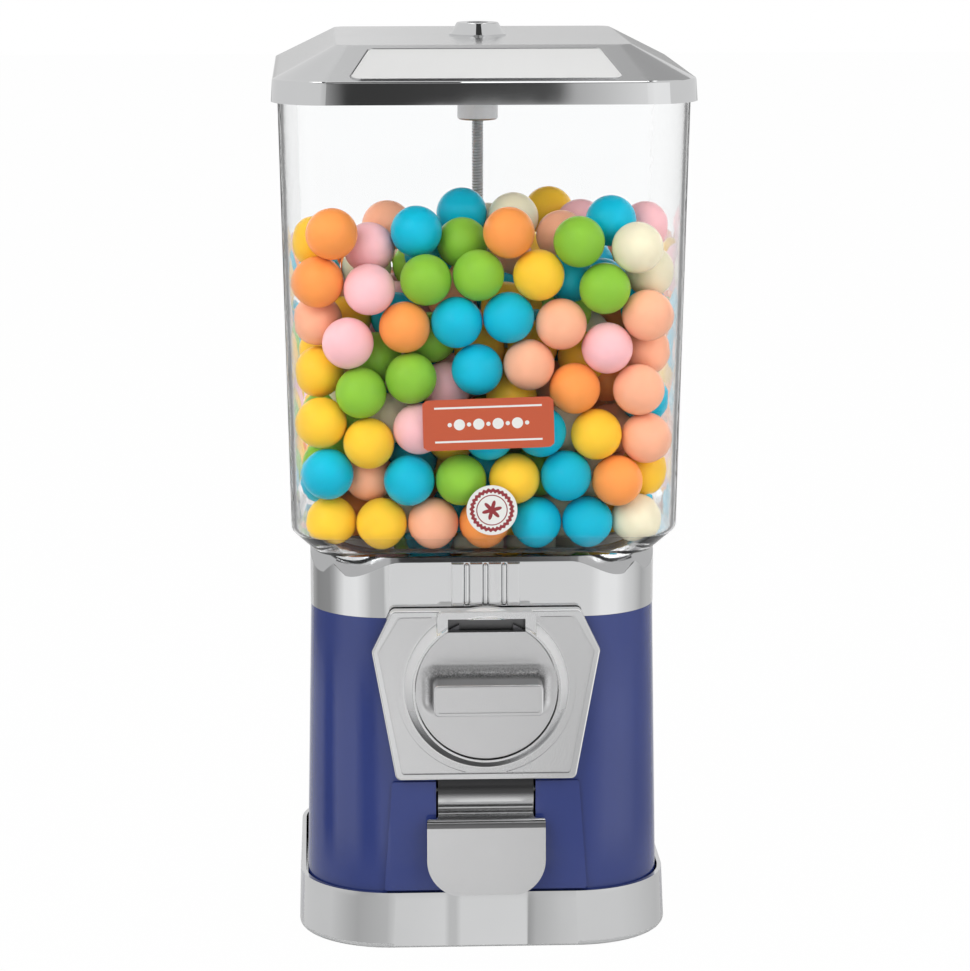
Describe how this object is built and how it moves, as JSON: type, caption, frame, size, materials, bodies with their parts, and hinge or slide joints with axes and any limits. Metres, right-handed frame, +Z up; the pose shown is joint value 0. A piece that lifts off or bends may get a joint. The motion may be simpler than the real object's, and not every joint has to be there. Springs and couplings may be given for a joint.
{
  "type": "gumball machine",
  "caption": "Coin-operated gumball machine: square clear globe of coloured gumballs on a tapered painted body, with a bright lid, collar, coin dial and chute flap.",
  "frame": {"origin": "on the table, on the axis of the centre rod", "axes": "+Z up along the rod, the coin dial and flap face -Y, +X to the right seen from the front"},
  "size_m": [0.197, 0.2137, 0.4354],
  "materials": {
    "chrome": "bright plated",
    "blue_paint": "gloss",
    "clear": "clear gloss",
    "steel": "satin",
    "grey_cast": "satin cast",
    "dark_steel": "satin",
    "white_plastic": "satin",
    "grey_plastic": "satin",
    "rubber": "matte",
    "brass": "satin",
    "gum_orange": "candy gloss",
    "gum_green": "candy gloss",
    "gum_yellow": "candy gloss",
    "gum_blue": "candy gloss",
    "gum_pink": "candy gloss",
    "gum_salmon": "candy gloss",
    "gum_cream": "candy gloss"
  },
  "bodies": {
    "cabinet": {"base_tray": "chrome", "rubber_feet": "rubber", "body_shell": "blue_paint", "collar": "chrome", "hopper": "white_plastic", "globe_gasket": "rubber", "globe": "clear", "centre_rod": "steel", "rod_nut": "steel", "rod_washer": "steel", "wheel_washer": "steel", "wheel_nut": "steel", "ball_guard": "white_plastic", "drop_tube": "grey_plastic", "chute_tube": "grey_plastic", "hinge_ears": "steel", "hinge_pin": "steel", "mech_plate": "chrome", "mech_nuts": "steel", "pawl_pin": "steel", "pawl_spring": "dark_steel", "dog_spring": "dark_steel", "dog_cap": "grey_cast", "gumballs_orange": "gum_orange", "gumballs_green": "gum_green", "gumballs_yellow": "gum_yellow", "gumballs_blue": "gum_blue", "gumballs_pink": "gum_pink", "gumballs_salmon": "gum_salmon", "gumballs_cream": "gum_cream"},
    "lid_group": {"lid": "chrome", "lid_boss": "grey_cast", "lock_washer": "steel", "lock_housing": "chrome"},
    "lock": {"lock_plug": "dark_steel"},
    "dial_group": {"dial": "chrome", "coin_wheel": "grey_cast", "dial_shaft": "steel", "ratchet_wheel": "brass", "drive_gear": "grey_plastic", "shaft_nut": "steel"},
    "wheel": {"dispensing_wheel": "grey_plastic"},
    "flap": {"chute_flap": "chrome"},
    "pawl": {"ratchet_pawl": "dark_steel"},
    "dog": {"coin_dog": "brass"}
  },
  "joints": [
    {"name": "lid_lift", "type": "slide", "parent": "cabinet", "child": "lid_group", "axis": [0, 0, 1], "range_m": [0, 0.06]},
    {"name": "lock_turn", "type": "hinge", "parent": "lid_group", "child": "lock", "pos_m": [0, 0, 0.43], "axis": [0, 0, 1], "range_deg": [0, 90]},
    {"name": "dial_turn", "type": "hinge", "parent": "cabinet", "child": "dial_group", "pos_m": [0, -0.09, 0.129], "axis": [0, 1, 0], "continuous": true},
    {"name": "wheel_spin", "type": "hinge", "parent": "cabinet", "child": "wheel", "pos_m": [0, 0, 0.155], "axis": [0, 0, 1], "continuous": true},
    {"name": "flap_swing", "type": "hinge", "parent": "cabinet", "child": "flap", "pos_m": [0, -0.07691, 0.076], "axis": [-1, 0, 0], "range_deg": [0, 60]},
    {"name": "pawl_lift", "type": "hinge", "parent": "cabinet", "child": "pawl", "pos_m": [-0.02294, -0.074, 0.14506], "axis": [0, -1, 0], "range_deg": [0, 10], "stiffness_Nm_per_rad": 0.02, "springref_deg": -11.46},
    {"name": "dog_slide", "type": "slide", "parent": "cabinet", "child": "dog", "axis": [0, 1, 0], "range_m": [0, 0.0015], "stiffness_N_per_m": 150, "springref_m": -0.003, "deforming": ["dog_spring"]}
  ],
  "couplings": [
    {"joint": "wheel_spin", "follows": "dial_turn", "ratio": 0.25}
  ]
}
